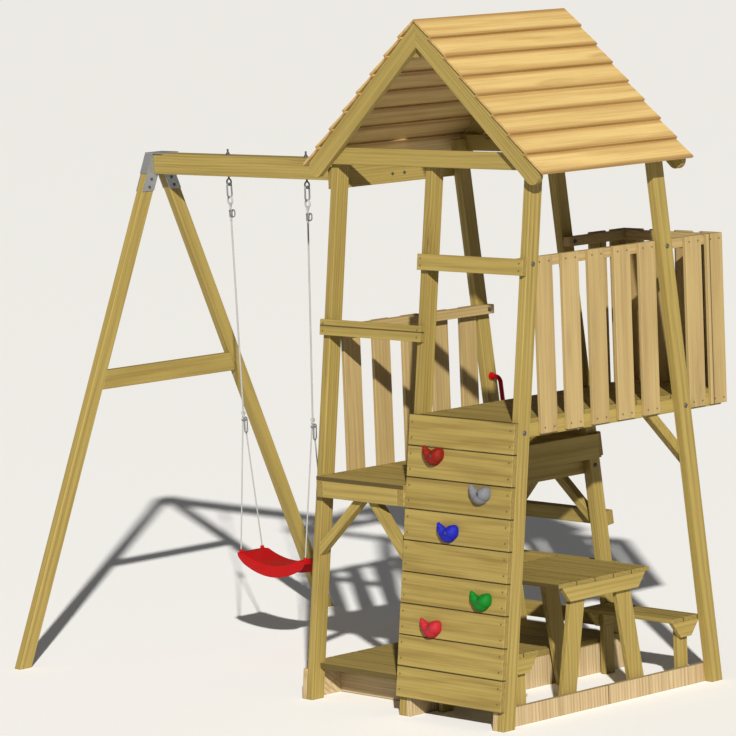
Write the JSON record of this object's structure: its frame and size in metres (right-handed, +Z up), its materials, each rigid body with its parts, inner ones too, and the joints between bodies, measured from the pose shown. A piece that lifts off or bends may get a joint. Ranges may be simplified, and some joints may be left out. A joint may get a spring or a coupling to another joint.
{
  "type": "play tower with climbing wall and swing",
  "caption": "Timber garden play tower: plank climbing wall with moulded holds, decks, gabled roof, picnic set, lidded sandpit and a rope swing on a side beam.",
  "frame": {"origin": "on the ground, under the middle of the whole object's box", "axes": "+X from the swing towards the climbing wall, +Y from the gable front to the ladder side at the back, +Z up"},
  "size_m": [3.28, 2.1636, 3.2307],
  "materials": {
    "pine_frame": "planed pine, pale greenish yellow from pressure treatment",
    "pine_board": "planed pine boards, a little warmer than the frame",
    "roof_pine": "feather-edged pine boards, warm yellow",
    "zinc_steel": "zinc plated",
    "red_plastic": "moulded, satin",
    "rope": "laid polypropylene rope",
    "hold_pink": "gritty moulded resin",
    "hold_green": "gritty moulded resin",
    "hold_blue": "gritty moulded resin",
    "hold_grey": "gritty moulded resin",
    "hold_brick": "gritty moulded resin"
  },
  "bodies": {
    "tower": {"apex_bracket": "zinc_steel", "balcony_handrails": "pine_frame", "balcony_slats": "pine_board", "bargeboards": "pine_board", "base_boards": "pine_board", "beam_hooks": "zinc_steel", "bench_tops": "pine_board", "bench_trestles": "pine_frame", "frame_bolts": "zinc_steel", "front_rails": "pine_board", "gable_beams": "pine_frame", "grab_handles": "red_plastic", "high_deck_boards": "pine_board", "high_deck_frame": "pine_frame", "hold_blue": "hold_blue", "hold_bolts": "zinc_steel", "hold_brick": "hold_brick", "hold_green": "hold_green", "hold_grey": "hold_grey", "hold_pink": "hold_pink", "kick_boards": "pine_board", "knee_braces": "pine_frame", "ladder_rungs": "pine_board", "left_handrail": "pine_frame", "left_slats": "pine_board", "low_deck_boards": "pine_board", "low_deck_frame": "pine_frame", "post_back_left": "pine_frame", "post_back_middle": "pine_frame", "post_back_right": "pine_frame", "post_front_left": "pine_frame", "post_front_middle": "pine_frame", "post_front_right": "pine_frame", "right_handrail": "pine_frame", "right_slats": "pine_board", "roof_boards_left": "roof_pine", "roof_boards_right": "roof_pine", "sandpit_lid": "pine_board", "screws": "zinc_steel", "side_top_beam": "pine_frame", "swing_beam": "pine_frame", "swing_crossbar": "pine_frame", "swing_legs": "pine_frame", "table_top": "pine_board", "table_trestles": "pine_frame", "wall_plank_1": "pine_board", "wall_plank_2": "pine_board", "wall_plank_3": "pine_board", "wall_plank_4": "pine_board", "wall_plank_5": "pine_board", "wall_plank_6": "pine_board", "wall_plank_7": "pine_board", "wall_plank_8": "pine_board", "wall_plank_9": "pine_board"},
    "swing": {"bridle_left": "rope", "bridle_right": "rope", "rope_left": "rope", "rope_right": "rope", "swing_links": "zinc_steel", "swing_seat": "red_plastic"}
  },
  "joints": [
    {"name": "swing", "type": "hinge", "parent": "tower", "child": "swing", "pos_m": [-0.77004, 0, 2.372], "axis": [1, 0, 0], "range_deg": [-60, 60]}
  ]
}
